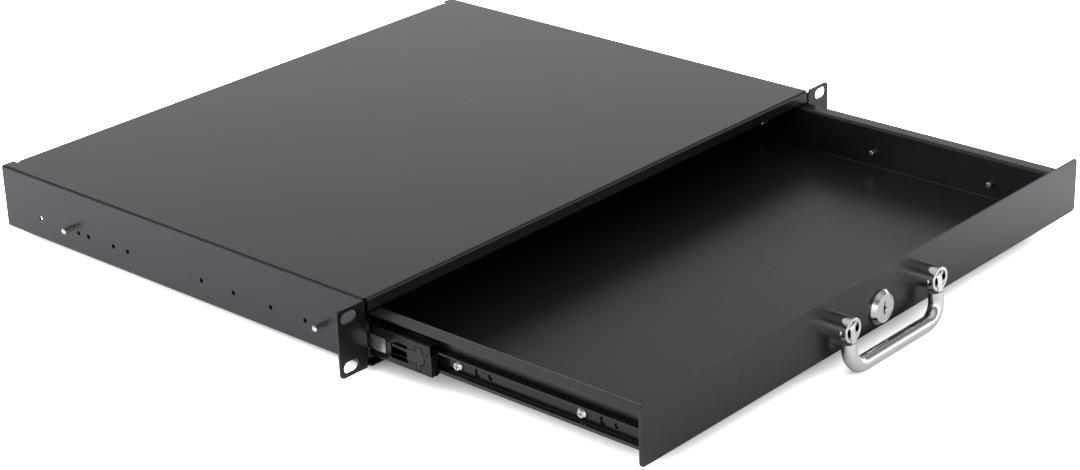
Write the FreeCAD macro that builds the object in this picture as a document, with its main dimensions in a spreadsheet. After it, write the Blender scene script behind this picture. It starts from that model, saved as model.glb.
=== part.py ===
import FreeCAD, Part
import math
import os
import re
import Sketcher

# Sliding rack drawer: a one-unit sheet-metal case with rack ears, a lockable tray on three-part
# ball-bearing slides, and a swinging bail handle. Millimetres, +Z up, the front faces -Y.
# The origin is the centre of the four rack slots, on the plane where the ears meet the rack rails.
# The tray stands partly open, as it does in use.

Vector = FreeCAD.Vector
doc = FreeCAD.newDocument("sliding_rack_drawer")

# ---------------------------------------------------------------- driving dimensions

DIMENSIONS = [
    ("sheet", 1.2, "thickness of the case and tray sheet"),
    ("bend_outer", 1.8, "outer radius of a sheet bend"),
    ("bend_inner", 0.6, "inner radius of a sheet bend"),
    ("rack_width", 482.6, "width over the rack ears"),
    ("slot_span", 465.1, "rack slots, centre to centre across"),
    ("slot_rise", 31.75, "rack slots, centre to centre upwards"),
    ("slot_length", 12.0, "rack slot, end to end"),
    ("slot_height", 7.5, "rack slot, across"),
    ("ear_height", 43.7, "height of a rack ear"),
    ("ear_corner", 3.0, "corner radius of a rack ear"),
    ("case_width", 438.0, "width over the side walls"),
    ("case_depth", 345.0, "front of the ears to the rear edge"),
    ("case_drop", 0.6, "how far the case reaches below the ears"),
    ("foot_flange", 18.0, "width of a bottom flange"),
    ("lip_height", 8.0, "height of the lip under the top's front edge"),
    ("lip_relief", 2.5, "side wall face to the end of the lip"),
    ("rear_recess", 1.5, "rear wall, behind the ends of the side walls"),
    ("rear_half", 206.0, "half the width of the rear wall"),
    ("relief_size", 3.0, "corner relief beside the rear wall"),
    ("rear_tab", 22.0, "tab of a side wall behind the rear wall"),
    ("side_hole", 3.2, "diameter of a spare hole in a side wall"),
    ("side_hole_level", -7.0, "height of the spare holes"),
    ("drawer_open", 210.5, "travel from shut to the modelled place"),
    ("shut_gap", 0.3, "front panel to ears when shut"),
    ("panel_width", 445.5, "width of the front panel"),
    ("panel_low", -15.65, "bottom edge of the panel's ends"),
    ("panel_high", 21.35, "top edge of the front panel"),
    ("panel_corner", 3.0, "corner radius of the front panel"),
    ("panel_bend_half", 205.0, "half the length of the bend under the panel"),
    ("tray_depth", 318.8, "panel back to the tray's rear face"),
    ("tray_low", -16.65, "underside of the tray floor"),
    ("flange_high", 13.05, "top of the tray's side flanges"),
    ("flange_half", 216.2, "centre to the edge of a tray flange"),
    ("tray_back_high", 8.0, "top edge of the tray's rear wall"),
    ("slide_level", -5.2, "height of the slides' centre line"),
    ("slide_depth", 10.634, "case wall to tray wall across a slide"),
    ("slide_metal", 1.0, "strip thickness of the slide members"),
    ("slide_length", 300.0, "length of the outer and inner members"),
    ("slide_front", 1.8, "front end of the outer member"),
    ("middle_length", 290.0, "length of the middle member"),
    ("middle_front", -50.0, "front end of the middle member"),
    ("inner_gap", 2.8, "panel back to the inner member"),
    ("ball_size", 3.5, "diameter of a slide ball"),
    ("cage_metal", 0.5, "strip thickness of a ball cage"),
    ("handle_span", 90.0, "centre distance of the handle posts"),
    ("handle_level", 2.6, "height of the handle pivots"),
    ("post_size", 15.5, "diameter of a handle post"),
    ("post_length", 12.8, "length of a handle post"),
    ("pivot_inset", 4.5, "post end to the hinge pin"),
    ("cup_radius", 5.7, "radius of the cup bored in a post's end"),
    ("cup_room", 4.2, "pin centre to the bottom of the cup"),
    ("fork_gap", 5.2, "width of the slot under the cup"),
    ("bail_rod", 9.6, "rod diameter of the bail"),
    ("bail_drop", 25.8, "pivot to the centre of the bail's grip"),
    ("bail_corner", 12.0, "centre line radius of the bail's corners"),
    ("bail_lean", 7.0, "degrees that the bail stands off hanging straight down"),
    ("tongue_metal", 4.6, "thickness of a bail tongue"),
    ("tongue_radius", 4.0, "radius of a bail tongue round its pin"),
    ("tongue_reach", 9.0, "pivot to the shoulder of the rod"),
    ("pin_size", 3.0, "diameter of a hinge pin"),
    ("pin_proud", 0.45, "how far a hinge pin stands out of its post"),
    ("lock_level", -2.4, "height of the lock's centre"),
    ("barrel_radius", 7.9, "radius of the lock barrel"),
    ("barrel_length", 16.0, "lock barrel behind the panel"),
    ("plug_radius", 6.0, "radius of the lock plug"),
    ("plug_play", 0.1, "radial play of the plug in the barrel"),
    ("head_radius", 11.0, "foot radius of the lock's bezel"),
    ("face_radius", 8.8, "face radius of the lock's bezel"),
    ("cap_radius", 8.0, "radius of the plug's round face"),
    ("cap_depth", 1.5, "thickness of the plug's round face"),
    ("head_depth", 3.9, "how far the bezel stands off the panel"),
    ("tail_size", 7.0, "square tail that drives the cam"),
    ("cam_metal", 2.0, "thickness of the cam"),
    ("cam_radius", 9.0, "hub radius of the cam"),
    ("cam_width", 12.0, "width of the cam's arm"),
    ("cam_reach", 20.0, "lock centre to the cam's tip"),
    ("cam_step", 13.0, "lock centre to the inside of the cam's crank"),
    ("cam_tip_inset", 2.0, "panel back to the cam's tip"),
    ("play", 0.05, "radial clearance of a screw in its hole"),
    ("m4_radius", 2.0, "radius of an M4 shank"),
    ("m5_radius", 2.5, "radius of an M5 shank"),
]

# Places along a slide, from its front end.
CASE_SCREWS = (34.4, 271.7)
TRAY_SCREW_GROUPS = (49.6, 143.7, 238.0)
SLOT_BEFORE_SCREW = 14.8
HOLE_BEFORE_SCREW = 24.8
# Spare holes in the side walls, from the front of the ears.
SPARE_HOLES = (53.0, 83.5, 117.3, 147.1, 218.5, 232.6, 258.0, 268.0, 307.6)
SIDES = (("left", -1), ("right", 1))

dims = doc.addObject("Spreadsheet::Sheet", "Dims")
for row, (alias, value, meaning) in enumerate(DIMENSIONS, start=1):
    dims.set("A%d" % row, meaning)
    dims.set("B%d" % row, str(value))
    dims.setAlias("B%d" % row, alias)
doc.recompute()

ALIASES = re.compile(r"\b(%s)\b" % "|".join(alias for alias, _, _ in DIMENSIONS))


def bind(text):
    """Write a formula of dimension names as an expression on the sheet."""
    return ALIASES.sub(r"Dims.\1", str(text))


def size(text):
    """The value of such a formula, in millimetres."""
    return float(dims.evalExpression(bind(text)))


# Formulas used by several pieces.
CASE_TOP = "ear_height / 2"
CASE_LOW = "(-ear_height / 2 - case_drop)"
CASE_REAR = "(case_depth - sheet)"
CASE_HALF = "case_width / 2"
PANEL_BACK = "(-sheet - shut_gap - drawer_open)"
PANEL_FACE = "(-2 * sheet - shut_gap - drawer_open)"
TRAY_OUT = "(case_width / 2 - sheet - slide_depth)"
TRAY_IN = "(case_width / 2 - 2 * sheet - slide_depth)"
PIVOT_Y = "(-2 * sheet - shut_gap - drawer_open - post_length + pivot_inset)"

# ---------------------------------------------------------------- modelling helpers

published = []


def body(label):
    """A new PartDesign body for one sub-part."""
    made = doc.addObject("PartDesign::Body", label)
    made.Label = label
    published.append(made)
    return made


def sketch(owner, role, offset="0", shift_y="0"):
    """An empty sketch on one of the body's origin planes, at a bound distance from it."""
    made = owner.newObject("Sketcher::SketchObject", "profile")
    support = next(f for f in owner.Origin.OriginFeatures if f.Role == role)
    made.AttachmentSupport = [(support, "")]
    made.MapMode = "FlatFace"
    sign = "-1" if role == "XZ_Plane" else "1"
    made.setExpression("AttachmentOffset.Base.z", "%s * (%s)" % (sign, bind(offset)))
    made.setExpression("AttachmentOffset.Base.y", bind(shift_y))
    return made


def place(profile, geo, end, formulas):
    """Tie one point of a sketch to two formulas, measured from the sketch's origin."""
    for kind, formula in zip(("DistanceX", "DistanceY"), formulas):
        rule = Sketcher.Constraint(kind, -1, 1, geo, end, size(formula))
        number = profile.addConstraint(rule)
        profile.setExpression("Constraints[%d]" % number, bind(formula))


def outline(profile, corners, bulges=None):
    """A closed loop through corners given as formulas; a bulge bends its edge through a point."""
    points = [Vector(size(a), size(b), 0) for a, b in corners]
    first = profile.GeometryCount
    count = len(points)
    starts = []
    for i in range(count):
        begin = points[i]
        finish = points[(i + 1) % count]
        edge = Part.LineSegment(begin, finish)
        if bulges and i in bulges:
            through = Vector(size(bulges[i][0]), size(bulges[i][1]), 0)
            edge = Part.Arc(begin, through, finish)
        profile.addGeometry(edge, False)
        kept = profile.Geometry[first + i].StartPoint.distanceToPoint(begin) < 1e-6
        starts.append(1 if kept else 2)
    for i in range(count):
        after = (i + 1) % count
        join = Sketcher.Constraint("Coincident", first + i, 3 - starts[i], first + after, starts[after])
        profile.addConstraint(join)
        place(profile, first + i, starts[i], corners[i])
    for i in bulges or ():
        radius = profile.Geometry[first + i].Radius
        profile.addConstraint(Sketcher.Constraint("Radius", first + i, radius))


def rectangle(profile, low, high):
    """A rectangle between two opposite corners."""
    outline(profile, [low, (high[0], low[1]), high, (low[0], high[1])])


def circle(profile, centre, radius):
    """A circle at a bound place with a bound radius."""
    middle = Vector(size(centre[0]), size(centre[1]), 0)
    geo = profile.addGeometry(Part.Circle(middle, Vector(0, 0, 1), size(radius)), False)
    place(profile, geo, 3, centre)
    number = profile.addConstraint(Sketcher.Constraint("Radius", geo, size(radius)))
    profile.setExpression("Constraints[%d]" % number, bind(radius))


def obround(profile, centre, half_run, radius, upright=False):
    """A slot with round ends: two arcs joined by tangent lines."""
    run = size(half_run)
    reach = size(radius)
    middle = Vector(size(centre[0]), size(centre[1]), 0)
    along = Vector(0, 1, 0) if upright else Vector(1, 0, 0)
    across = Vector(-along.y, along.x, 0) * reach
    ends = (middle + along * run, middle - along * run)
    turn = math.pi / 2 if upright else 0.0
    first = profile.GeometryCount
    for end, start in ((ends[0], turn - math.pi / 2), (ends[1], turn + math.pi / 2)):
        round_end = Part.Circle(end, Vector(0, 0, 1), reach)
        profile.addGeometry(Part.ArcOfCircle(round_end, start, start + math.pi), False)
    profile.addGeometry(Part.LineSegment(ends[0] + across, ends[1] + across), False)
    profile.addGeometry(Part.LineSegment(ends[1] - across, ends[0] - across), False)
    for one, one_end, other, other_end in ((0, 2, 2, 1), (2, 2, 1, 1), (1, 2, 3, 1), (3, 2, 0, 1)):
        join = Sketcher.Constraint("Tangent", first + one, one_end, first + other, other_end)
        profile.addConstraint(join)
    for geo, sign in ((first, "+"), (first + 1, "-")):
        shifted = "%s %s %s"
        if upright:
            place(profile, geo, 3, (centre[0], shifted % (centre[1], sign, half_run)))
        else:
            place(profile, geo, 3, (shifted % (centre[0], sign, half_run), centre[1]))
        number = profile.addConstraint(Sketcher.Constraint("Radius", geo, reach))
        profile.setExpression("Constraints[%d]" % number, bind(radius))


def pad(owner, profile, length, reverse=False, midplane=False):
    """Add the profile's extrusion; reversed, a sketch across Y is raised towards the rear."""
    made = owner.newObject("PartDesign::Pad", "pad")
    made.Profile = profile
    made.setExpression("Length", bind(length))
    made.Reversed = reverse
    made.Midplane = midplane
    doc.recompute()
    return made


def pocket(owner, profile, length, reverse=False, midplane=False):
    """Cut the profile's extrusion and make sure that it removed something."""
    before = owner.Shape.Volume
    made = owner.newObject("PartDesign::Pocket", "pocket")
    made.Profile = profile
    made.setExpression("Length", bind(length))
    made.Reversed = reverse
    made.Midplane = midplane
    doc.recompute()
    if owner.Shape.Volume > before - 1e-6:
        raise RuntimeError("%s: a pocket cut nothing" % owner.Label)
    return made


def revolve(owner, profile):
    """Turn a profile drawn beside the sketch's horizontal axis into a solid."""
    made = owner.newObject("PartDesign::Revolution", "turning")
    made.Profile = profile
    made.ReferenceAxis = (profile, ["H_Axis"])
    made.Angle = 360
    doc.recompute()
    return made


def near(value, target):
    return abs(value - target) < 1e-3


def edges_along(shape, direction, test):
    """Names of the straight edges in one axis direction whose middle passes the test."""
    names = []
    for number, edge in enumerate(shape.Edges, start=1):
        if edge.Curve.TypeId != "Part::GeomLine":
            continue
        run = edge.Vertexes[-1].Point - edge.Vertexes[0].Point
        if abs(abs(run.dot(direction)) - run.Length) > 1e-6:
            continue
        if test(edge.CenterOfMass):
            names.append("Edge%d" % number)
    return names


def fillet(owner, radius, direction, test):
    """Round the edges that the test picks."""
    base = owner.Tip
    names = edges_along(base.Shape, direction, test)
    if not names:
        raise RuntimeError("%s: no edge to round" % owner.Label)
    made = owner.newObject("PartDesign::Fillet", "edge_round")
    made.Base = (base, names)
    made.setExpression("Radius", bind(radius))
    doc.recompute()
    if made.Shape.isNull() or not made.Shape.isValid():
        raise RuntimeError("%s: a rounding failed at %s" % (owner.Label, names))
    return made


ALONG_X = Vector(1, 0, 0)
ALONG_Y = Vector(0, 1, 0)
ALONG_Z = Vector(0, 0, 1)


def corner_test(first, a, second, b):
    """Test for an edge at |first| = a and second = b, given as axis letters and formulas."""
    want_a = size(a)
    want_b = size(b)

    def test(point):
        return near(abs(getattr(point, first)), want_a) and near(getattr(point, second), want_b)
    return test


# ---------------------------------------------------------------- case shell

case = body("case_shell")
section = sketch(case, "XZ_Plane", "-sheet")
outline(section, [
    ("foot_flange - %s" % CASE_HALF, CASE_LOW),
    ("-%s" % CASE_HALF, CASE_LOW),
    ("-%s" % CASE_HALF, CASE_TOP),
    (CASE_HALF, CASE_TOP),
    (CASE_HALF, CASE_LOW),
    ("%s - foot_flange" % CASE_HALF, CASE_LOW),
    ("%s - foot_flange" % CASE_HALF, "%s + sheet" % CASE_LOW),
    ("%s - sheet" % CASE_HALF, "%s + sheet" % CASE_LOW),
    ("%s - sheet" % CASE_HALF, "%s - sheet" % CASE_TOP),
    ("sheet - %s" % CASE_HALF, "%s - sheet" % CASE_TOP),
    ("sheet - %s" % CASE_HALF, "%s + sheet" % CASE_LOW),
    ("foot_flange - %s" % CASE_HALF, "%s + sheet" % CASE_LOW),
])
pad(case, section, "case_depth", reverse=True)

# The lip hangs from the top's front edge, and the ears turn outwards from the side walls.
LIP_HALF = "(case_width / 2 - lip_relief)"
front = sketch(case, "XZ_Plane", "-sheet")
rectangle(front, ("-%s" % LIP_HALF, "%s - lip_height" % CASE_TOP), (LIP_HALF, CASE_TOP))
rectangle(front, ("-rack_width / 2", "-ear_height / 2"), ("sheet - %s" % CASE_HALF, CASE_TOP))
rectangle(front, ("%s - sheet" % CASE_HALF, "-ear_height / 2"), ("rack_width / 2", CASE_TOP))
pad(case, front, "sheet", reverse=True)

# Bend reliefs part the ears from the top and from the bottom flanges.
relief = sketch(case, "XZ_Plane", "-sheet")
for sign in ("-1", "1"):
    inner = "%s * %s" % (sign, LIP_HALF)
    outer = "%s * (%s + bend_inner)" % (sign, CASE_HALF)
    rectangle(relief, (inner, "%s - bend_outer" % CASE_TOP), (outer, CASE_TOP))
    rectangle(relief, (inner, CASE_LOW), (outer, "%s + bend_outer" % CASE_LOW))
pocket(case, relief, "2 * sheet")

# The rear wall comes down from the top and covers a tab of each side wall.
rear = sketch(case, "XZ_Plane", "%s - rear_recess - sheet" % CASE_REAR)
rectangle(rear, ("-rear_half", CASE_LOW), ("rear_half", CASE_TOP))
pad(case, rear, "sheet", reverse=True)
tabs = sketch(case, "XZ_Plane", "%s - rear_recess - 2 * sheet" % CASE_REAR)
for sign in ("-1", "1"):
    inner = "%s * (case_width / 2 - sheet - rear_tab)" % sign
    outer = "%s * (case_width / 2 - sheet)" % sign
    rectangle(tabs, (inner, "%s + sheet" % CASE_LOW), (outer, "%s - 3 * sheet" % CASE_TOP))
pad(case, tabs, "sheet", reverse=True)

# The top sheet ends at the rear wall, with a relief notch at each corner.
NOTCH_HALF = "(rear_half + relief_size)"
NOTCH_FRONT = "(case_depth - sheet - rear_recess - relief_size)"
trim = sketch(case, "XY_Plane", CASE_TOP)
outline(trim, [
    ("-%s" % NOTCH_HALF, NOTCH_FRONT),
    ("-rear_half", NOTCH_FRONT),
    ("-rear_half", "%s - rear_recess" % CASE_REAR),
    ("rear_half", "%s - rear_recess" % CASE_REAR),
    ("rear_half", NOTCH_FRONT),
    (NOTCH_HALF, NOTCH_FRONT),
    (NOTCH_HALF, CASE_REAR),
    ("-%s" % NOTCH_HALF, CASE_REAR),
])
pocket(case, trim, "sheet")

slots = sketch(case, "XZ_Plane", "0")
for x_sign in ("-", ""):
    for z_sign in ("-", ""):
        centre = ("%sslot_span / 2" % x_sign, "%sslot_rise / 2" % z_sign)
        obround(slots, centre, "(slot_length - slot_height) / 2", "slot_height / 2")
pocket(case, slots, "2 * sheet", midplane=True)

holes = sketch(case, "YZ_Plane")
for place_y in SPARE_HOLES:
    circle(holes, ("%s - sheet" % place_y, "side_hole_level"), "side_hole / 2")
for place_y in CASE_SCREWS:
    circle(holes, ("slide_front + %s" % place_y, "slide_level"), "m4_radius + play")
pocket(case, holes, "rack_width", midplane=True)

WALL_IN = "%s - sheet" % CASE_HALF
for level in (CASE_TOP, CASE_LOW):
    bend = corner_test("x", CASE_HALF, "z", level)
    fillet(case, "bend_outer", ALONG_Y, lambda point: point.y > 10 and bend(point))
fillet(case, "bend_inner", ALONG_Y, corner_test("x", WALL_IN, "z", "%s - sheet" % CASE_TOP))
fillet(case, "bend_inner", ALONG_Y, corner_test("x", WALL_IN, "z", "%s + sheet" % CASE_LOW))
lip_edge = corner_test("y", "sheet", "z", CASE_TOP)
fillet(case, "bend_outer", ALONG_X, lambda point: abs(point.x) < 1 and lip_edge(point))
fillet(case, "bend_inner", ALONG_Z, corner_test("x", CASE_HALF, "y", "0"))
fillet(case, "bend_outer", ALONG_Z, corner_test("x", WALL_IN, "y", "-sheet"))
fillet(case, "ear_corner", ALONG_Y, corner_test("x", "rack_width / 2", "z", CASE_TOP))
fillet(case, "ear_corner", ALONG_Y, corner_test("x", "rack_width / 2", "z", "-ear_height / 2"))
rear_edge = corner_test("y", "%s - rear_recess" % CASE_REAR, "z", CASE_TOP)
fillet(case, "bend_outer", ALONG_X, rear_edge)

# ---------------------------------------------------------------- tray with its front panel

tray = body("drawer_tray")
section = sketch(tray, "XZ_Plane", PANEL_BACK)
outline(section, [
    ("-flange_half", "flange_high"),
    ("-%s" % TRAY_IN, "flange_high"),
    ("-%s" % TRAY_IN, "tray_low + sheet"),
    (TRAY_IN, "tray_low + sheet"),
    (TRAY_IN, "flange_high"),
    ("flange_half", "flange_high"),
    ("flange_half", "flange_high - sheet"),
    (TRAY_OUT, "flange_high - sheet"),
    (TRAY_OUT, "tray_low"),
    ("-%s" % TRAY_OUT, "tray_low"),
    ("-%s" % TRAY_OUT, "flange_high - sheet"),
    ("-flange_half", "flange_high - sheet"),
])
pad(tray, section, "tray_depth", reverse=True)
fillet(tray, "bend_outer", ALONG_Y, corner_test("x", TRAY_OUT, "z", "tray_low"))
fillet(tray, "bend_inner", ALONG_Y, corner_test("x", TRAY_IN, "z", "tray_low + sheet"))
fillet(tray, "bend_outer", ALONG_Y, corner_test("x", TRAY_IN, "z", "flange_high"))
fillet(tray, "bend_inner", ALONG_Y, corner_test("x", TRAY_OUT, "z", "flange_high - sheet"))

# The floor turns up into the front panel between two reliefs.
panel = sketch(tray, "XZ_Plane", PANEL_FACE)
outline(panel, [
    ("-panel_width / 2", "panel_low"),
    ("-panel_bend_half", "panel_low"),
    ("-panel_bend_half", "tray_low"),
    ("panel_bend_half", "tray_low"),
    ("panel_bend_half", "panel_low"),
    ("panel_width / 2", "panel_low"),
    ("panel_width / 2", "panel_high"),
    ("-panel_width / 2", "panel_high"),
])
pad(tray, panel, "sheet", reverse=True)
relief = sketch(tray, "XZ_Plane", PANEL_FACE)
for sign in ("-1", "1"):
    rectangle(relief, ("%s * panel_bend_half" % sign, "tray_low - 1"),
              ("%s * (panel_bend_half + 1)" % sign, "tray_low + 2 * sheet"))
pocket(tray, relief, "2 * sheet")
back = sketch(tray, "XZ_Plane", "%s + tray_depth - sheet" % PANEL_BACK)
rectangle(back, ("-%s" % TRAY_IN, "tray_low + sheet / 2"), (TRAY_IN, "tray_back_high"))
pad(tray, back, "sheet", reverse=True)

# Holes: handle screws and lock in the panel, slide screws in the walls.
openings = sketch(tray, "XZ_Plane", PANEL_BACK)
for sign in ("-", ""):
    circle(openings, ("%shandle_span / 2" % sign, "handle_level"), "m5_radius + play")
circle(openings, ("0", "lock_level"), "barrel_radius + play")
pocket(tray, openings, "4 * sheet", midplane=True)
holes = sketch(tray, "YZ_Plane")
for place_y in TRAY_SCREW_GROUPS:
    circle(holes, ("%s + inner_gap + %s" % (PANEL_BACK, place_y), "slide_level"), "m4_radius + play")
pocket(tray, holes, "rack_width", midplane=True)

for level in ("panel_low", "panel_high"):
    fillet(tray, "panel_corner", ALONG_Y, corner_test("x", "panel_width / 2", "z", level))
panel_foot = corner_test("y", "-1 * %s" % PANEL_FACE, "z", "tray_low")
fillet(tray, "bend_outer", ALONG_X, panel_foot)
panel_crease = corner_test("y", "-1 * %s" % PANEL_BACK, "z", "tray_low + sheet")
fillet(tray, "bend_inner", ALONG_X, panel_crease)

# ---------------------------------------------------------------- ball-bearing slides
#
# A slide's section is drawn in two directions: depth, from the case wall towards the tray, and
# rise, from the slide's centre line. Each member is a bent strip. Half of its centre line is a
# chain of lines and arcs that starts in the middle of the web, and the other half mirrors it.

METAL = size("slide_metal")
RACE = size("ball_size / 2 + play * 2 + slide_metal / 2")
GROOVE = 25.0
WRAP = 70.0
BEND = 1.0


def polar(length, degrees):
    angle = math.radians(degrees)
    return Vector(length * math.cos(angle), length * math.sin(angle), 0)


def strip_half(start, steps, thickness):
    """The two faces and the end of half a strip. A step is (length,) or (radius, turn)."""
    faces = ([], [])
    spot = Vector(start)
    heading = 90.0
    for step in steps:
        if len(step) == 1:
            ahead = spot + polar(step[0], heading)
            for face, side in zip(faces, (90.0, -90.0)):
                shift = polar(thickness / 2, heading + side)
                face.append((spot + shift, None, ahead + shift))
            spot = ahead
            continue
        radius, turn = step
        lean = math.copysign(90.0, turn)
        centre = spot + polar(radius, heading + lean)
        for face, side in zip(faces, (90.0, -90.0)):
            reach = radius - math.copysign(thickness / 2, turn * side)
            angles = [heading + part * turn - lean for part in (0.0, 0.5, 1.0)]
            face.append(tuple(centre + polar(reach, angle) for angle in angles))
        spot = centre + polar(radius, heading + turn - lean)
        heading += turn
    left, right = faces
    return left, (left[-1][2], None, right[-1][2]), right


def strip_section(profile, start, steps, thickness, side):
    """Draw a strip's whole section into a sketch across Y, for the left or right slide."""
    left, end, right = strip_half(start, steps, thickness)
    upper = left + [end] + [tuple(reversed(piece)) for piece in reversed(right)]
    lower = [tuple(p and Vector(p.x, -p.y, 0) for p in piece) for piece in upper]
    wall = size("%s - sheet" % CASE_HALF)
    level = size("slide_level")

    def to_sketch(point):
        return Vector(side * (wall - point.x), level + point.y, 0)
    loop = upper + [tuple(reversed(piece)) for piece in reversed(lower)]
    for begin, middle, finish in loop:
        if middle is None:
            edge = Part.LineSegment(to_sketch(begin), to_sketch(finish))
        else:
            edge = Part.Arc(to_sketch(begin), to_sketch(middle), to_sketch(finish))
        profile.addGeometry(edge, False)


# Depths and rises of the webs, ball centres and races.
OUTER_WEB = METAL / 2
MIDDLE_WEB = 2.5 * METAL
GROOVE_RISE = 9.5
DIP = RACE * (1 - math.cos(math.radians(GROOVE)))
HALF_GROOVE = RACE * math.sin(math.radians(GROOVE))
MIDDLE_BEND_RISE = GROOVE_RISE + DIP - BEND * math.cos(math.radians(GROOVE))
OUTER_BALL = Vector(MIDDLE_WEB + BEND + BEND * math.sin(math.radians(GROOVE)) + HALF_GROOVE,
                    GROOVE_RISE + RACE, 0)
INNER_BALL = Vector(OUTER_BALL.x + 2 * HALF_GROOVE, GROOVE_RISE + 2 * DIP - RACE, 0)
OUTER_RISE = OUTER_BALL.y + RACE
INNER_RUN = 0.9
INNER_BEND = (INNER_BALL.x + HALF_GROOVE + BEND * math.sin(math.radians(GROOVE))
              + INNER_RUN * math.cos(math.radians(GROOVE)),
              INNER_BALL.y - RACE * math.cos(math.radians(GROOVE))
              - BEND * math.cos(math.radians(GROOVE)) + INNER_RUN * math.sin(math.radians(GROOVE)))
INNER_WEB = INNER_BEND[0] + BEND

OUTER_STEPS = [
    (OUTER_RISE - BEND,),
    (BEND, -90.0),
    (OUTER_BALL.x - OUTER_WEB - BEND,),
    (RACE, -WRAP),
]
MIDDLE_STEPS = [
    (MIDDLE_BEND_RISE,),
    (BEND, -90.0 - GROOVE),
    (RACE, 2 * GROOVE),
    (RACE, -GROOVE - WRAP),
]
INNER_STEPS = [
    (INNER_BEND[1],),
    (BEND, 90.0 + GROOVE),
    (INNER_RUN,),
    (RACE, -2 * GROOVE),
]


def slide_holes(owner, reach, circles=(), uprights=()):
    """Round holes and upright slots through a member's web."""
    cuts = sketch(owner, "YZ_Plane")
    for centre, radius in circles:
        circle(cuts, (centre, "slide_level"), radius)
    for centre in uprights:
        obround(cuts, (centre, "slide_level"), "1.2", "2.1", upright=True)
    pocket(owner, cuts, reach, midplane=True)


# The middle member's window and the plastic bumper that clips into it. Both are drawn as places
# (behind the member's front end, above its centre line), half a millimetre apart.
WINDOW = [(32.0, 3.6), (28.0, 5.0), (18.4, 5.0), (18.4, 3.9), (12.1, 3.9), (12.1, 7.1), (6.4, 7.1),
          (6.4, 3.8), (6.4, -4.5), (8.1, -4.5), (8.1, -8.6), (11.5, -8.6), (11.5, -4.5), (18.4, -4.5),
          (18.4, -6.2), (32.0, -6.2)]
WINDOW_BULGE = 7
SEAM_OUT = (4.4, -0.3)
CLIP = [(18.9, 3.4), (11.6, 3.4), (11.6, 6.6), (6.9, 6.6), (6.9, 3.4), (6.9, -4.0), (8.6, -4.0),
        (8.6, -8.1), (11.0, -8.1), (11.0, -4.0), (18.9, -4.0), (18.9, 0.9), (31.0, 1.6), (31.0, 3.1),
        (18.9, 2.6)]
CLIP_BULGE = 4
SEAM_IN = (5.0, -0.3)


def along_middle(places):
    """Formulas for places given behind the middle member's front end and above its centre line."""
    return [("middle_front + %s" % back, "slide_level + %s" % rise) for back, rise in places]


INNER_FRONT = "%s + inner_gap" % PANEL_BACK
SINK = 1.4
SINK_DEPTH = 0.95 * METAL
for side_name, side in SIDES:
    outer = body("slide_outer_%s" % side_name)
    section = sketch(outer, "XZ_Plane", "slide_front")
    strip_section(section, (OUTER_WEB, 0, 0), OUTER_STEPS, METAL, side)
    pad(outer, section, "slide_length", reverse=True)
    circles = [("slide_front + %s" % p, "m4_radius + play") for p in CASE_SCREWS]
    circles += [("slide_front + %s" % p, "2.2") for p in (67.0, 131.0, 195.0)]
    slide_holes(outer, "rack_width", circles, ["slide_front + 51", "slide_front + 255"])
    wall = size("%s - sheet" % CASE_HALF)
    for place_y in CASE_SCREWS:
        sink = outer.newObject("PartDesign::SubtractiveCone", "countersink")
        sink.setExpression("Radius1", bind("m4_radius + play + %s" % SINK))
        sink.setExpression("Radius2", bind("m4_radius + play"))
        sink.Height = SINK_DEPTH
        sink.Placement = FreeCAD.Placement(
            Vector(side * (wall - METAL), size("slide_front") + place_y, size("slide_level")),
            FreeCAD.Rotation(Vector(0, 0, 1), Vector(side, 0, 0)))
        doc.recompute()

    middle = body("slide_middle_%s" % side_name)
    section = sketch(middle, "XZ_Plane", "middle_front")
    strip_section(section, (MIDDLE_WEB, 0, 0), MIDDLE_STEPS, METAL, side)
    pad(middle, section, "middle_length", reverse=True)
    window = sketch(middle, "YZ_Plane", side * (wall - MIDDLE_WEB))
    outline(window, along_middle(WINDOW), {WINDOW_BULGE: along_middle([SEAM_OUT])[0]})
    circle(window, along_middle([(2.5, 3.8)])[0], "0.6")
    pocket(middle, window, "2 * slide_metal", midplane=True)

    inner = body("slide_inner_%s" % side_name)
    section = sketch(inner, "XZ_Plane", INNER_FRONT)
    strip_section(section, (INNER_WEB, 0, 0), INNER_STEPS, METAL, side)
    pad(inner, section, "slide_length", reverse=True)
    screws = ["%s + %s" % (INNER_FRONT, p) for p in TRAY_SCREW_GROUPS]
    circles = [(p, "m4_radius + play") for p in screws]
    circles += [("%s - %s" % (p, HOLE_BEFORE_SCREW), "1.9") for p in screws]
    slide_holes(inner, "rack_width", circles, ["%s - %s" % (p, SLOT_BEFORE_SCREW) for p in screws])

# Ball cages: a thin channel in each gap, with a row of balls in its top and bottom flange.
CAGE = size("cage_metal")
OUTER_CAGE_WEB = 1.5 * METAL
INNER_CAGE_WEB = 3.5 * METAL
OUTER_CAGE = (0.8, 185.0)
INNER_CAGE = (-12.0, 72.0)
CAGE_TONGUE = (14.8, 4.7)


def cage_steps(web, ball, reach):
    return [(ball.y - CAGE,), (CAGE, -90.0), (reach - web - CAGE,)]


def ball_rows(start, length, count):
    """Places along Y of a row of balls in a cage."""
    pitch = (length - 24.0) / (count - 1)
    return [start + 12.0 + k * pitch for k in range(count)]


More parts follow.
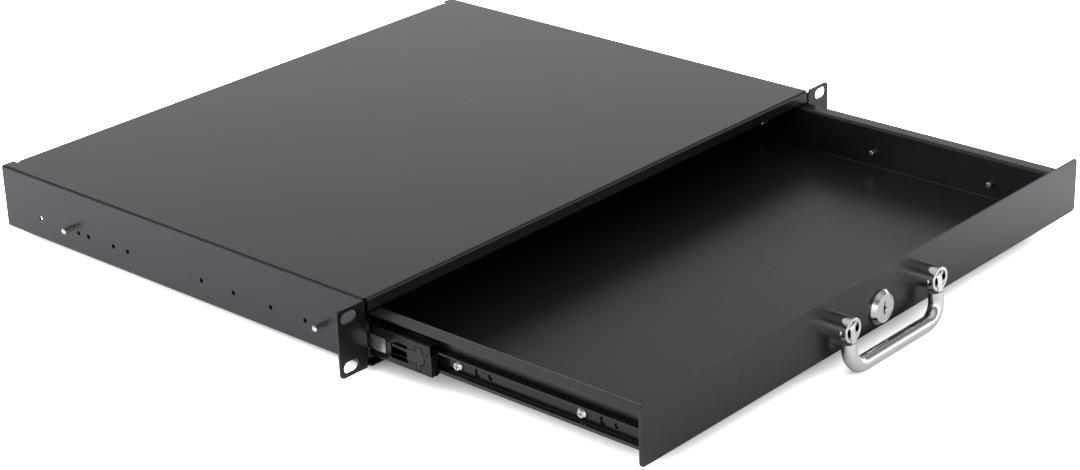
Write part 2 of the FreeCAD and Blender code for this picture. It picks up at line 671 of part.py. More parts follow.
for side_name, side in SIDES:
    wall = size("%s - sheet" % CASE_HALF)
    for stage, web, ball, reach, (start, length), count in (
            ("outer", OUTER_CAGE_WEB, OUTER_BALL, OUTER_BALL.x + 2.0, OUTER_CAGE, 6),
            ("inner", INNER_CAGE_WEB, INNER_BALL, INNER_BALL.x + 1.9, INNER_CAGE, 4)):
        cage = body("%s_cage_%s" % (stage, side_name))
        section = sketch(cage, "XZ_Plane", start)
        strip_section(section, (web, 0, 0), cage_steps(web, ball, reach), CAGE, side)
        pad(cage, section, length, reverse=True)
        if stage == "outer":
            tongue = sketch(cage, "YZ_Plane", side * (wall - web - CAGE / 2))
            rise = CAGE_TONGUE[1]
            rectangle(tongue, (start - CAGE_TONGUE[0], "slide_level - %s" % rise),
                      (start + 2.0, "slide_level + %s" % rise))
            pad(cage, tongue, CAGE, reverse=side < 0)
        rows = ball_rows(start, length, count)
        pockets = sketch(cage, "XY_Plane")
        for row in rows:
            circle(pockets, (side * (wall - ball.x), row), "ball_size / 2 + play")
        pocket(cage, pockets, "60", midplane=True)

        level = size("slide_level")
        balls = [Part.makeSphere(size("ball_size / 2"), Vector(side * (wall - ball.x), row, level + rise))
                 for row in rows for rise in (-ball.y, ball.y)]
        group = doc.addObject("Part::Feature", "%s_balls_%s" % (stage, side_name))
        group.Label = "%s_balls_%s" % (stage, side_name)
        group.Shape = Part.makeCompound(balls)
        published.append(group)

# Plastic bumper at the front of each middle member. Its clip fills the front of the window, a
# bridge passes inside the web, and its nose closes the member's end, with a rib to buffer it.
CLIP_OUT = 1.95 * METAL
CLIP_IN = 3.0 * METAL
BRIDGE_IN = 4.0 * METAL
NOSE_OUT = 1.6 * METAL
NOSE_IN = 5.0 * METAL
BOSS_IN = 7.0 * METAL
RIB = (4.5, 5.7)
for side_name, side in SIDES:
    bumper = body("middle_bumper_%s" % side_name)
    wall = size("%s - sheet" % CASE_HALF)
    clip = sketch(bumper, "YZ_Plane", side * (wall - CLIP_OUT))
    outline(clip, along_middle(CLIP), {CLIP_BULGE: along_middle([SEAM_IN])[0]})
    pad(bumper, clip, CLIP_IN - CLIP_OUT, reverse=side > 0)
    bridge = sketch(bumper, "YZ_Plane", side * (wall - CLIP_IN))
    rectangle(bridge, *along_middle([(-1.0, -3.4), (8.0, 3.2)]))
    pad(bumper, bridge, BRIDGE_IN - CLIP_IN, reverse=side > 0)
    for near_wall, far_wall, corners in (
            (NOSE_OUT, NOSE_IN, [(-1.0, -9.0), (-0.05, 3.8)]),
            (NOSE_IN, BOSS_IN, [(-1.0, -4.3), (-0.05, 3.8)]),
            (RIB[0], RIB[1], [(-1.7, -4.0), (-1.0, 1.2)])):
        block = sketch(bumper, "YZ_Plane", side * (wall - near_wall))
        rectangle(block, *along_middle(corners))
        pad(bumper, block, far_wall - near_wall, reverse=side > 0)

# ---------------------------------------------------------------- screws


def turned(points, start, direction):
    """A solid of revolution: points are (distance along the axis, radius)."""
    outline_points = [Vector(along, radius, 0) for along, radius in points]
    face = Part.Face(Part.makePolygon(outline_points + outline_points[:1]))
    solid = face.revolve(Vector(0, 0, 0), Vector(1, 0, 0), 360)
    solid.Placement = FreeCAD.Placement(start, FreeCAD.Rotation(Vector(1, 0, 0), direction))
    return solid


def pan_screw(radius, length, head_radius, head_height):
    """Pan-head screw, its head before zero and its shank after."""
    crown = head_radius * 0.62
    return [(-head_height, 0), (-head_height, crown), (-head_height * 0.55, head_radius * 0.94),
            (-head_height * 0.3, head_radius), (0, head_radius), (0, radius),
            (length - 0.6, radius), (length, radius - 0.6), (length, 0)]


def flat_screw(radius, length, flare, depth):
    """Countersunk screw whose flat head is flush at zero."""
    return [(0, 0), (0, radius + flare), (depth, radius), (length - 0.6, radius),
            (length, radius - 0.6), (length, 0)]


def driven(screw, start, direction, depth, reach):
    """Cut a cross recess for a driver into the head of a screw that runs along direction."""
    arm = reach / 3.2
    cross = Part.makeBox(depth, 2 * reach, arm, Vector(0, -reach, -arm / 2))
    cross = cross.fuse(Part.makeBox(depth, arm, 2 * reach, Vector(0, -arm / 2, -reach)))
    cross.Placement = FreeCAD.Placement(start, FreeCAD.Rotation(Vector(1, 0, 0), direction))
    return screw.cut(cross)


def screw_group(label, solids):
    group = doc.addObject("Part::Feature", label)
    group.Label = label
    group.Shape = Part.makeCompound(solids)
    published.append(group)


M4 = size("m4_radius")
TRAY_HEAD = (3.5, 2.2)
CASE_TIP = 7.5
TRAY_TIP = 3.6
for side_name, side in SIDES:
    wall_in = size("%s - sheet" % CASE_HALF)
    outward = Vector(side, 0, 0)
    profile = flat_screw(M4, METAL + size("sheet") + CASE_TIP, SINK, SINK_DEPTH)
    starts = [Vector(side * (wall_in - METAL), size("slide_front") + p, size("slide_level"))
              for p in CASE_SCREWS]
    screws = [driven(turned(profile, at, outward), at, outward, 1.2, 1.9) for at in starts]
    screw_group("case_screws_%s" % side_name, screws)
    channel = wall_in - INNER_WEB + METAL / 2
    profile = pan_screw(M4, METAL + size("sheet") + TRAY_TIP, *TRAY_HEAD)
    starts = [Vector(side * channel, size(INNER_FRONT) + p, size("slide_level"))
              for p in TRAY_SCREW_GROUPS]
    top = outward * TRAY_HEAD[1]
    screws = [driven(turned(profile, at, -outward), at + top, -outward, 1.6, 1.9) for at in starts]
    screw_group("tray_screws_%s" % side_name, screws)

HANDLE_HEAD = (4.6, 2.8)
HANDLE_THREAD = 3.5
profile = pan_screw(size("m5_radius"), size("sheet") + HANDLE_THREAD, *HANDLE_HEAD)
starts = [Vector(side * size("handle_span / 2"), size(PANEL_BACK), size("handle_level"))
          for _, side in SIDES]
FORWARD = Vector(0, -1, 0)
top = FORWARD * -HANDLE_HEAD[1]
screws = [driven(turned(profile, at, FORWARD), at + top, FORWARD, 2.0, 2.4) for at in starts]
screw_group("handle_screws", screws)

# ---------------------------------------------------------------- handle

POST_END = "(%s - post_length)" % PANEL_FACE
for side_name, side in SIDES:
    x_post = "%d * handle_span / 2" % side
    post = body("handle_post_%s" % side_name)
    disc = sketch(post, "XZ_Plane", POST_END)
    circle(disc, (x_post, "handle_level"), "post_size / 2")
    pad(post, disc, "post_length", reverse=True)
    cup = sketch(post, "XZ_Plane", POST_END)
    circle(cup, (x_post, "handle_level"), "cup_radius")
    pocket(post, cup, "pivot_inset + cup_room")
    fork = sketch(post, "YZ_Plane", x_post)
    rectangle(fork, ("%s - 1" % POST_END, "handle_level - post_size"),
              ("%s + cup_room" % PIVOT_Y, "handle_level"))
    pocket(post, fork, "fork_gap", midplane=True)
    rim = post.Tip
    rims = ["Edge%d" % n for n, edge in enumerate(rim.Shape.Edges, start=1)
            if near(edge.CenterOfMass.y, size(POST_END)) and edge.Curve.TypeId == "Part::GeomCircle"]
    soften = post.newObject("PartDesign::Fillet", "rim_round")
    soften.Base = (rim, rims)
    soften.Radius = 0.5
    doc.recompute()
    bore = sketch(post, "XZ_Plane", PANEL_FACE)
    circle(bore, (x_post, "handle_level"), "m5_radius + play")
    pocket(post, bore, HANDLE_THREAD + 0.2, reverse=True)
    cross = sketch(post, "YZ_Plane", x_post)
    circle(cross, (PIVOT_Y, "handle_level"), "pin_size / 2 + play / 2")
    pocket(post, cross, "2 * post_size", midplane=True)

    pin = body("handle_pin_%s" % side_name)
    half = sketch(pin, "XZ_Plane", PIVOT_Y, "handle_level")
    for_end = "%s %s (post_size / 2 + pin_proud%s)"
    outline(half, [
        (for_end % (x_post, "-", ""), "0"),
        (for_end % (x_post, "-", ""), "pin_size * 0.3"),
        (for_end % (x_post, "-", " * 0.2"), "pin_size / 2"),
        (for_end % (x_post, "+", " * 0.2"), "pin_size / 2"),
        (for_end % (x_post, "+", ""), "pin_size * 0.3"),
        (for_end % (x_post, "+", ""), "0"),
    ])
    revolve(pin, half)

# The bail is drawn hanging straight down, and then turned forward to where it stands.
bail = body("handle_bail")
SHOULDER = "handle_level - tongue_reach"
GRIP = "handle_level - bail_drop"
path = sketch(bail, "XZ_Plane", PIVOT_Y)
half = size("handle_span / 2")
corner = size("bail_corner")
slant = corner * (1 - math.sqrt(0.5))
turns = {}
for sign in (-1, 1):
    turns[sign] = [Vector(sign * half, size(GRIP) + corner, 0),
                   Vector(sign * (half - slant), size(GRIP) + slant, 0),
                   Vector(sign * (half - corner), size(GRIP), 0)]
left_turn = turns[-1]
right_turn = list(reversed(turns[1]))
path.addGeometry(Part.LineSegment(Vector(-half, size(SHOULDER), 0), left_turn[0]), False)
path.addGeometry(Part.Arc(*left_turn), False)
path.addGeometry(Part.LineSegment(left_turn[2], right_turn[0]), False)
path.addGeometry(Part.Arc(*right_turn), False)
path.addGeometry(Part.LineSegment(right_turn[2], Vector(half, size(SHOULDER), 0)), False)
for geo in range(4):
    path.addConstraint(Sketcher.Constraint("Tangent", geo, 2, geo + 1, 1))
path.addConstraint(Sketcher.Constraint("Vertical", 0))
path.addConstraint(Sketcher.Constraint("Horizontal", 2))
path.addConstraint(Sketcher.Constraint("Vertical", 4))
place(path, 0, 1, ("-handle_span / 2", SHOULDER))
place(path, 4, 2, ("handle_span / 2", SHOULDER))
number = path.addConstraint(Sketcher.Constraint("DistanceY", -1, 1, 2, 1, size(GRIP)))
path.setExpression("Constraints[%d]" % number, bind(GRIP))
for geo in (1, 3):
    number = path.addConstraint(Sketcher.Constraint("Radius", geo, corner))
    path.setExpression("Constraints[%d]" % number, bind("bail_corner"))
rod = sketch(bail, "XY_Plane", SHOULDER)
circle(rod, ("-handle_span / 2", PIVOT_Y), "bail_rod / 2")
doc.recompute()
pipe = bail.newObject("PartDesign::AdditivePipe", "grip")
pipe.Profile = rod
pipe.Spine = (path, ["Edge%d" % k for k in range(1, 6)])
doc.recompute()
for sign in ("-", ""):
    tongue = sketch(bail, "YZ_Plane", "%shandle_span / 2" % sign)
    rectangle(tongue, ("%s - tongue_radius" % PIVOT_Y, "%s - 1" % SHOULDER),
              ("%s + tongue_radius" % PIVOT_Y, "handle_level"))
    pad(bail, tongue, "tongue_metal", midplane=True)
    dome = sketch(bail, "YZ_Plane", "%shandle_span / 2" % sign)
    circle(dome, (PIVOT_Y, "handle_level"), "tongue_radius")
    pad(bail, dome, "tongue_metal", midplane=True)
eyes = sketch(bail, "YZ_Plane")
circle(eyes, (PIVOT_Y, "handle_level"), "pin_size / 2 + 0.08")
pocket(bail, eyes, "handle_span + post_size", midplane=True)
pivot = Vector(0, size(PIVOT_Y), size("handle_level"))
bail.Placement = FreeCAD.Placement(Vector(0, 0, 0), FreeCAD.Rotation(ALONG_X, -size("bail_lean")), pivot)

# ---------------------------------------------------------------- cam lock

barrel = body("lock_barrel")
shell = sketch(barrel, "YZ_Plane", "0", "lock_level")
outline(shell, [
    ("%s + barrel_length" % PANEL_BACK, "plug_radius + plug_play"),
    ("%s + barrel_length" % PANEL_BACK, "barrel_radius"),
    (PANEL_FACE, "barrel_radius"),
    (PANEL_FACE, "head_radius"),
    ("%s - 1.2" % PANEL_FACE, "head_radius"),
    ("%s - head_depth" % PANEL_FACE, "face_radius"),
    ("%s - head_depth" % PANEL_FACE, "cap_radius + plug_play"),
    ("%s - head_depth + cap_depth + 0.4" % PANEL_FACE, "cap_radius + plug_play"),
    ("%s - head_depth + cap_depth + 0.4" % PANEL_FACE, "plug_radius + plug_play"),
])
revolve(barrel, shell)

plug = body("lock_plug")
core = sketch(plug, "YZ_Plane", "0", "lock_level")
outline(core, [
    ("%s - head_depth + 0.2" % PANEL_FACE, "0"),
    ("%s - head_depth + 0.2" % PANEL_FACE, "cap_radius"),
    ("%s - head_depth + 0.2 + cap_depth" % PANEL_FACE, "cap_radius"),
    ("%s - head_depth + 0.2 + cap_depth" % PANEL_FACE, "plug_radius"),
    ("%s + barrel_length - 0.3" % PANEL_BACK, "plug_radius"),
    ("%s + barrel_length - 0.3" % PANEL_BACK, "0"),
])
revolve(plug, core)
tail = sketch(plug, "XZ_Plane", "%s + barrel_length - 0.3" % PANEL_BACK)
rectangle(tail, ("-tail_size / 2", "lock_level - tail_size / 2"),
          ("tail_size / 2", "lock_level + tail_size / 2"))
pad(plug, tail, "0.3 + 0.4 + cam_metal - 0.2", reverse=True)
keyway = sketch(plug, "XZ_Plane", "%s - head_depth" % PANEL_FACE)
outline(keyway, [
    ("-0.2", "lock_level + 4.3"),
    ("-1.5", "lock_level + 1.4"),
    ("-1.5", "lock_level - 1.2"),
    ("-0.3", "lock_level - 4.3"),
    ("0.9", "lock_level - 4.3"),
    ("-0.3", "lock_level - 1.0"),
    ("1.5", "lock_level - 0.6"),
    ("1.5", "lock_level + 0.7"),
    ("-0.3", "lock_level + 1.2"),
    ("1.0", "lock_level + 4.3"),
])
pocket(plug, keyway, "9")
CAM_FRONT = "%s + barrel_length + 0.4" % PANEL_BACK
tapped = sketch(plug, "XZ_Plane", "%s + cam_metal" % CAM_FRONT)
circle(tapped, ("0", "lock_level"), "m4_radius + play")
pocket(plug, tapped, "9", reverse=True)

cam = body("lock_cam")
hub = sketch(cam, "XZ_Plane", CAM_FRONT)
circle(hub, ("0", "lock_level"), "cam_radius")
pad(cam, hub, "cam_metal", reverse=True)
arm = sketch(cam, "XZ_Plane", CAM_FRONT)
rectangle(arm, ("-cam_step - cam_metal", "lock_level - cam_width / 2"), ("0", "lock_level + cam_width / 2"))
pad(cam, arm, "cam_metal", reverse=True)
TIP_FRONT = "%s + cam_tip_inset" % PANEL_BACK
crank = sketch(cam, "XZ_Plane", TIP_FRONT)
rectangle(crank, ("-cam_step - cam_metal", "lock_level - cam_width / 2"),
          ("-cam_step", "lock_level + cam_width / 2"))
pad(cam, crank, "barrel_length - cam_tip_inset + 0.4 + cam_metal", reverse=True)
tip = sketch(cam, "XZ_Plane", TIP_FRONT)
rectangle(tip, ("-cam_reach", "lock_level - cam_width / 2"), ("-cam_step", "lock_level + cam_width / 2"))
pad(cam, tip, "cam_metal", reverse=True)
square = sketch(cam, "XZ_Plane", CAM_FRONT)
rectangle(square, ("-tail_size / 2 - play", "lock_level - tail_size / 2 - play"),
          ("tail_size / 2 + play", "lock_level + tail_size / 2 + play"))
pocket(cam, square, "3 * cam_metal", midplane=True)
tip_corner = corner_test("x", "cam_reach", "z", "lock_level + cam_width / 2")
fillet(cam, "2.5", ALONG_Y, tip_corner)
tip_corner = corner_test("x", "cam_reach", "z", "lock_level - cam_width / 2")
fillet(cam, "2.5", ALONG_Y, tip_corner)

nut = body("lock_nut")
face = sketch(nut, "XZ_Plane", PANEL_BACK)
NUT_FLAT = 10.5
nut_corner = NUT_FLAT / math.cos(math.pi / 6)
hexagon = []
for k in range(6):
    angle = math.radians(60 * k + 30)
    hexagon.append((nut_corner * math.cos(angle), "lock_level + %.4f" % (nut_corner * math.sin(angle))))
outline(face, hexagon)
circle(face, ("0", "lock_level"), "barrel_radius + play")
pad(nut, face, "3", reverse=True)

centre = Vector(0, size("%s + cam_metal" % CAM_FRONT), size("lock_level"))
CAM_HEAD = (4.5, 2.4)
screw = turned(pan_screw(M4, 8.0, *CAM_HEAD), centre, FORWARD)
screw_group("lock_cam_screw", [driven(screw, centre - FORWARD * CAM_HEAD[1], FORWARD, 1.7, 2.3)])

# ---------------------------------------------------------------- check and export

doc.recompute()
faults = [o.Label for o in doc.Objects if "Invalid" in o.State or "Error" in o.State]
faults += [p.Label for p in published if p.Shape.isNull() or not p.Shape.isValid()]
if faults:
    raise RuntimeError("objects that failed: %s" % ", ".join(faults))
os.makedirs("parts", exist_ok=True)
for piece in published:
    piece.Shape.exportStep("parts/%s.step" % piece.Label)
print("%d pieces" % len(published))
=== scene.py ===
import math

import bpy
from mathutils import Matrix, Vector


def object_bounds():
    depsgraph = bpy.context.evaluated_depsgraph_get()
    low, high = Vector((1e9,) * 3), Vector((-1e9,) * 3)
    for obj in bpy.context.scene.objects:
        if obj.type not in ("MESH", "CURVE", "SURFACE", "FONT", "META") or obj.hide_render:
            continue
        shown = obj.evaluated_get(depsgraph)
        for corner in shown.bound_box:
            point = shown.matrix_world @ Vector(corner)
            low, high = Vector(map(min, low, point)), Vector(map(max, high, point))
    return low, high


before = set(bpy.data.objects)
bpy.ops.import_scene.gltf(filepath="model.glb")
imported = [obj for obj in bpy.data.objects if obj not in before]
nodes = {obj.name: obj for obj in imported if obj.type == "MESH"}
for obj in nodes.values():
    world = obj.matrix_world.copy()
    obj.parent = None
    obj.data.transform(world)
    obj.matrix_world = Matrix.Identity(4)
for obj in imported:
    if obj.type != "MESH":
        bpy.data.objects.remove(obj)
cad_low, cad_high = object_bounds()

# ---- Case shell -------------------------------------------------------------------------------
# One folded steel sheet with top, sides, front lip and slotted ears, plus its rear wall. It is
# finished in satin black powder coat: a dark, slightly uneven film with a very fine orange peel.


def new_material(name):
    """A material with nothing but its shader and output; returns (material, tree, shader)."""
    material = bpy.data.materials.new(name)
    material.use_nodes = True
    tree = material.node_tree
    return material, tree, tree.nodes["Principled BSDF"]


def noise_in(tree, scale, detail=3.0, stretch=(1.0, 1.0, 1.0)):
    """A noise pattern fixed to the piece; a stretch below 1 lengthens it along that axis."""
    where = tree.nodes.new("ShaderNodeTexCoord")
    mapping = tree.nodes.new("ShaderNodeMapping")
    mapping.inputs["Scale"].default_value = stretch
    noise = tree.nodes.new("ShaderNodeTexNoise")
    noise.inputs["Scale"].default_value = scale
    noise.inputs["Detail"].default_value = detail
    tree.links.new(where.outputs["Object"], mapping.inputs["Vector"])
    tree.links.new(mapping.outputs["Vector"], noise.inputs["Vector"])
    return noise.outputs["Fac"]


def ramp_to(tree, factor, socket, stops):
    """Turns a pattern into the colours between two stops and feeds them to a socket."""
    ramp = tree.nodes.new("ShaderNodeValToRGB")
    for element, (place, colour) in zip(ramp.color_ramp.elements, stops):
        element.position = place
        element.color = (*colour, 1.0)
    tree.links.new(factor, ramp.inputs["Fac"])
    tree.links.new(ramp.outputs["Color"], socket)


NOISE_LOW, NOISE_HIGH = 0.3, 0.7


def range_to(tree, factor, socket, low, high):
    """Spreads the middle of a noise pattern over low to high and feeds it to a socket."""
    spread = tree.nodes.new("ShaderNodeMapRange")
    spread.inputs["From Min"].default_value = NOISE_LOW
    spread.inputs["From Max"].default_value = NOISE_HIGH
    spread.inputs["To Min"].default_value = low
    spread.inputs["To Max"].default_value = high
    tree.links.new(factor, spread.inputs["Value"])
    tree.links.new(spread.outputs["Result"], socket)


def bump_from(tree, factor, shader, depth, strength):
    """Raises the surface by a pattern, depth in metres."""
    bump = tree.nodes.new("ShaderNodeBump")
    bump.inputs["Strength"].default_value = strength
    bump.inputs["Distance"].default_value = depth
    tree.links.new(factor, bump.inputs["Height"])
    tree.links.new(bump.outputs["Normal"], shader.inputs["Normal"])


def grey(level):
    """A neutral colour with a faint cast of blue, as these blacks have."""
    return (level * 0.97, level * 0.99, level * 1.04)


def dress(material, *names):
    """Gives CAD nodes their finish."""
    for name in names:
        mesh = nodes[name].data
        mesh.materials.clear()
        mesh.materials.append(material)


powder_coat, tree, shader = new_material("black_powder_coat")
ramp_to(tree, noise_in(tree, scale=9.0), shader.inputs["Base Color"],
        ((0.3, grey(0.0055)), (0.7, grey(0.0075))))
range_to(tree, noise_in(tree, scale=60.0), shader.inputs["Roughness"], low=0.27, high=0.29)
bump_from(tree, noise_in(tree, scale=450.0, detail=1.0), shader, depth=0.000003, strength=0.1)
shader.inputs["Specular IOR Level"].default_value = 0.6
shader.inputs["Specular Tint"].default_value = (0.84, 0.89, 1.0, 1.0)
dress(powder_coat, "case_shell")

# ---- Slides -----------------------------------------------------------------------------------
# Three members a side, roll-formed in steel strip and passivated black, with the rolling marks
# along them. The outer is screwed to the case and the inner to the tray, with the middle between.

slide_black, tree, shader = new_material("black_zinc_strip")
rolled = noise_in(tree, scale=40.0, detail=4.0, stretch=(1.0, 0.08, 1.0))
ramp_to(tree, rolled, shader.inputs["Base Color"], ((0.35, grey(0.004)), (0.7, grey(0.008))))
rubbed = noise_in(tree, scale=220.0, stretch=(1.0, 0.1, 1.0))
range_to(tree, rubbed, shader.inputs["Roughness"], low=0.14, high=0.22)
drawn = noise_in(tree, scale=700.0, detail=2.0, stretch=(1.0, 0.05, 1.0))
bump_from(tree, drawn, shader, depth=0.00001, strength=0.15)
shader.inputs["Specular IOR Level"].default_value = 0.4
for stage in ("outer", "middle", "inner"):
    dress(slide_black, "slide_%s_left" % stage, "slide_%s_right" % stage)

# ---- Ball cages and balls ---------------------------------------------------------------------
# Each race pair has a cage of thin bright zinc-plated strip, which holds polished steel balls a
# little apart. The cage's flat tongue shows at the front of the outer member.

zinc_strip, tree, shader = new_material("zinc_strip")
rolled = noise_in(tree, scale=90.0, detail=4.0, stretch=(1.0, 0.15, 1.0))
ramp_to(tree, rolled, shader.inputs["Base Color"],
        ((0.3, (0.60, 0.605, 0.61)), (0.7, (0.68, 0.685, 0.69))))
rubbed = noise_in(tree, scale=400.0, stretch=(1.0, 0.1, 1.0))
range_to(tree, rubbed, shader.inputs["Roughness"], low=0.26, high=0.32)
drawn = noise_in(tree, scale=1200.0, detail=2.0, stretch=(1.0, 0.1, 1.0))
bump_from(tree, drawn, shader, depth=0.00001, strength=0.1)
shader.inputs["Metallic"].default_value = 1.0

ball_steel, tree, shader = new_material("ball_steel")
ramp_to(tree, noise_in(tree, scale=300.0), shader.inputs["Base Color"],
        ((0.3, (0.60, 0.60, 0.61)), (0.7, (0.70, 0.70, 0.71))))
range_to(tree, noise_in(tree, scale=800.0), shader.inputs["Roughness"], low=0.08, high=0.16)
shader.inputs["Metallic"].default_value = 1.0
for stage in ("outer", "inner"):
    for side in ("left", "right"):
        dress(zinc_strip, "%s_cage_%s" % (stage, side))
        dress(ball_steel, "%s_balls_%s" % (stage, side))

# ---- Bumpers ----------------------------------------------------------------------------------
# A moulded black plastic stop clipped into the front end of each middle member. It takes the
# knock when the drawer shuts.

bumper_plastic, tree, shader = new_material("black_plastic")
ramp_to(tree, noise_in(tree, scale=120.0), shader.inputs["Base Color"],
        ((0.3, grey(0.006)), (0.7, grey(0.010))))
range_to(tree, noise_in(tree, scale=500.0), shader.inputs["Roughness"], low=0.24, high=0.32)
bump_from(tree, noise_in(tree, scale=2500.0, detail=2.0), shader, depth=0.00001, strength=0.2)
dress(bumper_plastic, "middle_bumper_left", "middle_bumper_right")

# ---- Tray -------------------------------------------------------------------------------------
# One folded sheet again: floor, flanged walls, low back and the front panel, powder coated like
# the case.

dress(powder_coat, "drawer_tray")

# ---- Screws -----------------------------------------------------------------------------------
# Bright zinc-plated steel: countersunk screws through the case's sides, pan heads through the
# tray's, and two more that hold the handle from behind the panel.

zinc_hardware, tree, shader = new_material("zinc_hardware")
ramp_to(tree, noise_in(tree, scale=500.0), shader.inputs["Base Color"],
        ((0.3, (0.62, 0.62, 0.63)), (0.7, (0.78, 0.78, 0.79))))
range_to(tree, noise_in(tree, scale=1500.0), shader.inputs["Roughness"], low=0.2, high=0.32)
bump_from(tree, noise_in(tree, scale=3000.0, detail=2.0), shader, depth=0.00001, strength=0.3)
shader.inputs["Metallic"].default_value = 1.0
dress(zinc_hardware, "case_screws_left", "case_screws_right", "tray_screws_left",
      "tray_screws_right", "handle_screws")

# ---- Handle -----------------------------------------------------------------------------------
# Two turned posts with forked ends, a pin through each, and a bent rod bail that swings on them,
# all polished and chrome plated.

chrome, tree, shader = new_material("chrome_plate")
ramp_to(tree, noise_in(tree, scale=150.0), shader.inputs["Base Color"],
        ((0.3, (0.80, 0.80, 0.81)), (0.7, (0.86, 0.86, 0.87))))
range_to(tree, noise_in(tree, scale=250.0, detail=4.0), shader.inputs["Roughness"],
         low=0.04, high=0.1)
shader.inputs["Metallic"].default_value = 1.0
dress(chrome, "handle_post_left", "handle_post_right", "handle_pin_left", "handle_pin_right",
      "handle_bail")

# ---- Lock -------------------------------------------------------------------------------------
# A cam lock held in the panel by a zinc-plated nut. Its barrel is chrome plated with a conical
# bezel, and the plug has a satin face with the key's slot and carries the cam on its tail.

satin_face, tree, shader = new_material("satin_plug")
ramp_to(tree, noise_in(tree, scale=900.0), shader.inputs["Base Color"],
        ((0.3, (0.74, 0.74, 0.75)), (0.7, (0.82, 0.82, 0.83))))
range_to(tree, noise_in(tree, scale=1800.0), shader.inputs["Roughness"], low=0.2, high=0.28)
shader.inputs["Metallic"].default_value = 1.0
dress(satin_face, "lock_plug")
dress(chrome, "lock_barrel")
dress(zinc_hardware, "lock_nut", "lock_cam", "lock_cam_screw")

# ---- Floor, light and camera ------------------------------------------------------------------
# A plain white floor just below the hanging handle and two broad soft lamps, which no surface
# mirrors. The world is white behind the object, and in mirrors it is brightest near the horizon.

FLOOR_SIZE = 12.0
FLOOR_GAP = 0.0005
bpy.ops.object.select_all(action="DESELECT")
bpy.ops.mesh.primitive_plane_add(size=FLOOR_SIZE, location=(0.0, 0.0, cad_low[2] - FLOOR_GAP))
floor = bpy.context.object
floor.name = "floor"
floor_white, tree, shader = new_material("floor_white")
shader.inputs["Base Color"].default_value = (0.8, 0.8, 0.8, 1.0)
shader.inputs["Roughness"].default_value = 0.9
shader.inputs["Specular IOR Level"].default_value = 0.0


def ray_light(tree, to_camera, to_mirrors, hidden):
    """Strengths for the rays that see a thing itself, that see it in a mirror, and all others.
    The first is a plain value or a pattern, the second a pattern and the last a plain value."""
    path = tree.nodes.new("ShaderNodeLightPath")
    mirrored = tree.nodes.new("ShaderNodeMath")
    mirrored.operation = "MAXIMUM"
    tree.links.new(path.outputs["Is Glossy Ray"], mirrored.inputs[0])
    tree.links.new(path.outputs["Is Transmission Ray"], mirrored.inputs[1])
    level = tree.nodes.new("ShaderNodeMix")
    level.inputs["A"].default_value = hidden
    tree.links.new(to_mirrors, level.inputs["B"])
    tree.links.new(mirrored.outputs["Value"], level.inputs["Factor"])
    final = tree.nodes.new("ShaderNodeMix")
    if isinstance(to_camera, float):
        final.inputs["B"].default_value = to_camera
    else:
        tree.links.new(to_camera, final.inputs["B"])
    tree.links.new(path.outputs["Is Camera Ray"], final.inputs["Factor"])
    tree.links.new(level.outputs["Result"], final.inputs["A"])
    return final.outputs["Result"]


# In mirrors the floor also carries a pool of light before the drawer's right end.
POOL_CENTRE = (0.28, -0.27)
POOL_RADIUS = 0.22
POOL_LIGHT = 1.2
where = tree.nodes.new("ShaderNodeTexCoord")
mapping = tree.nodes.new("ShaderNodeMapping")
mapping.vector_type = "TEXTURE"
mapping.inputs["Location"].default_value = (*POOL_CENTRE, 0.0)
mapping.inputs["Scale"].default_value = (POOL_RADIUS, POOL_RADIUS, 1.0)
tree.links.new(where.outputs["Object"], mapping.inputs["Vector"])
pool = tree.nodes.new("ShaderNodeTexGradient")
pool.gradient_type = "SPHERICAL"
tree.links.new(mapping.outputs["Vector"], pool.inputs["Vector"])
pool_light = tree.nodes.new("ShaderNodeMath")
pool_light.operation = "MULTIPLY"
pool_light.inputs[1].default_value = POOL_LIGHT
tree.links.new(pool.outputs["Fac"], pool_light.inputs[0])
# Seen itself it shines white, and less where the drawer stands close over it: a painted shadow,
# taken from how closely the drawer covers each point.
OPEN_FLOOR = 3.0
SHADE_REACH = 0.06
shade = tree.nodes.new("ShaderNodeAmbientOcclusion")
shade.inputs["Distance"].default_value = SHADE_REACH
white = tree.nodes.new("ShaderNodeMath")
white.operation = "MULTIPLY"
white.inputs[1].default_value = OPEN_FLOOR
tree.links.new(shade.outputs["AO"], white.inputs[0])
shader.inputs["Emission Color"].default_value = (1.0, 1.0, 1.0, 1.0)
floor_light = ray_light(tree, to_camera=white.outputs["Value"],
                        to_mirrors=pool_light.outputs["Value"], hidden=0.0)
tree.links.new(floor_light, shader.inputs["Emission Strength"])
floor.data.materials.append(floor_white)

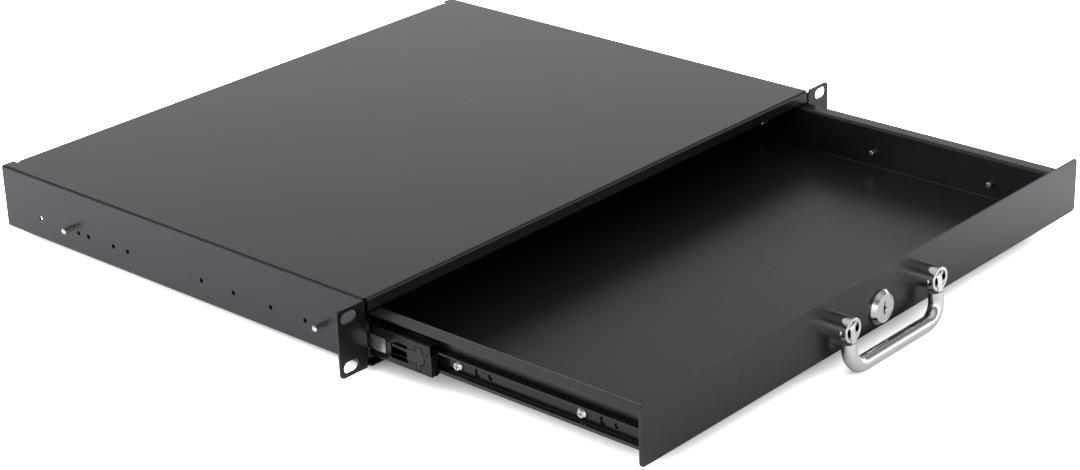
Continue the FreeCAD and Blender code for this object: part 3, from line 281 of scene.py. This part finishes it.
# The world seen in mirrors, as its brightness at each sine of the height over the horizon, and
# the even light that it sheds on everything.
SKY = ((0.0, 1.2), (0.2, 1.75), (0.4, 0.44), (0.6, 0.17), (0.85, 0.6))
WORLD_FILL = 0.85
world = bpy.data.worlds.new("studio")
world.use_nodes = True
bpy.context.scene.world = world
tree = world.node_tree
background = tree.nodes["Background"]
background.inputs["Color"].default_value = (1.0, 1.0, 1.0, 1.0)
where = tree.nodes.new("ShaderNodeTexCoord")
height = tree.nodes.new("ShaderNodeSeparateXYZ")
tree.links.new(where.outputs["Generated"], height.inputs["Vector"])
sky = tree.nodes.new("ShaderNodeValToRGB")
for place, _ in SKY[1:-1]:
    sky.color_ramp.elements.new(place)
for element, (place, level) in zip(sky.color_ramp.elements, SKY):
    element.position = place
    element.color = (level, level, level, 1.0)
tree.links.new(height.outputs["Z"], sky.inputs["Fac"])
world_light = ray_light(tree, to_camera=1.0, to_mirrors=sky.outputs["Color"], hidden=WORLD_FILL)
tree.links.new(world_light, background.inputs["Strength"])


def soft_lamp(name, place, target, width, power):
    """A square area lamp at place that faces target, and that no surface mirrors."""
    bpy.ops.object.light_add(type="AREA", location=place)
    lamp = bpy.context.object
    lamp.name = name
    lamp.data.size = width
    lamp.data.energy = power
    lamp.visible_glossy = False
    aim = Vector(target) - Vector(place)
    lamp.rotation_euler = aim.to_track_quat("-Z", "Y").to_euler()


soft_lamp("key_lamp", place=(-1.2, 0.9, 2.0), target=(0.0, 0.0, 0.0), width=1.6, power=16.0)
soft_lamp("low_lamp", place=(-0.9, 1.3, 0.6), target=(-0.1, 0.1, 0.0), width=0.8, power=34.0)

# The camera stands before the left front corner and above it, turned a little clockwise.
AZIMUTH = math.radians(-47.5)
ELEVATION = math.radians(23.63)
ROLL = math.radians(-1.97)
TARGET = Vector((-0.04545, 0.01692, -0.00185))
DISTANCE = 1.6089
LENS_MM = 84.0
SENSOR_MM = 36.0
NEAREST = 0.01
back = Vector((math.sin(AZIMUTH) * math.cos(ELEVATION), -math.cos(AZIMUTH) * math.cos(ELEVATION),
               math.sin(ELEVATION)))
level_right = Vector((math.cos(AZIMUTH), math.sin(AZIMUTH), 0.0))
level_up = back.cross(level_right)
right = math.cos(ROLL) * level_right + math.sin(ROLL) * level_up
up = math.cos(ROLL) * level_up - math.sin(ROLL) * level_right
place = TARGET + back * DISTANCE
bpy.ops.object.camera_add()
camera = bpy.context.object
camera.name = "view_camera"
camera.data.lens = LENS_MM
camera.data.sensor_width = SENSOR_MM
camera.data.clip_start = NEAREST
camera.matrix_world = Matrix(((right.x, up.x, back.x, place.x), (right.y, up.y, back.y, place.y),
                              (right.z, up.z, back.z, place.z), (0.0, 0.0, 0.0, 1.0)))
bpy.context.scene.camera = camera
bpy.context.scene.view_settings.view_transform = "Standard"
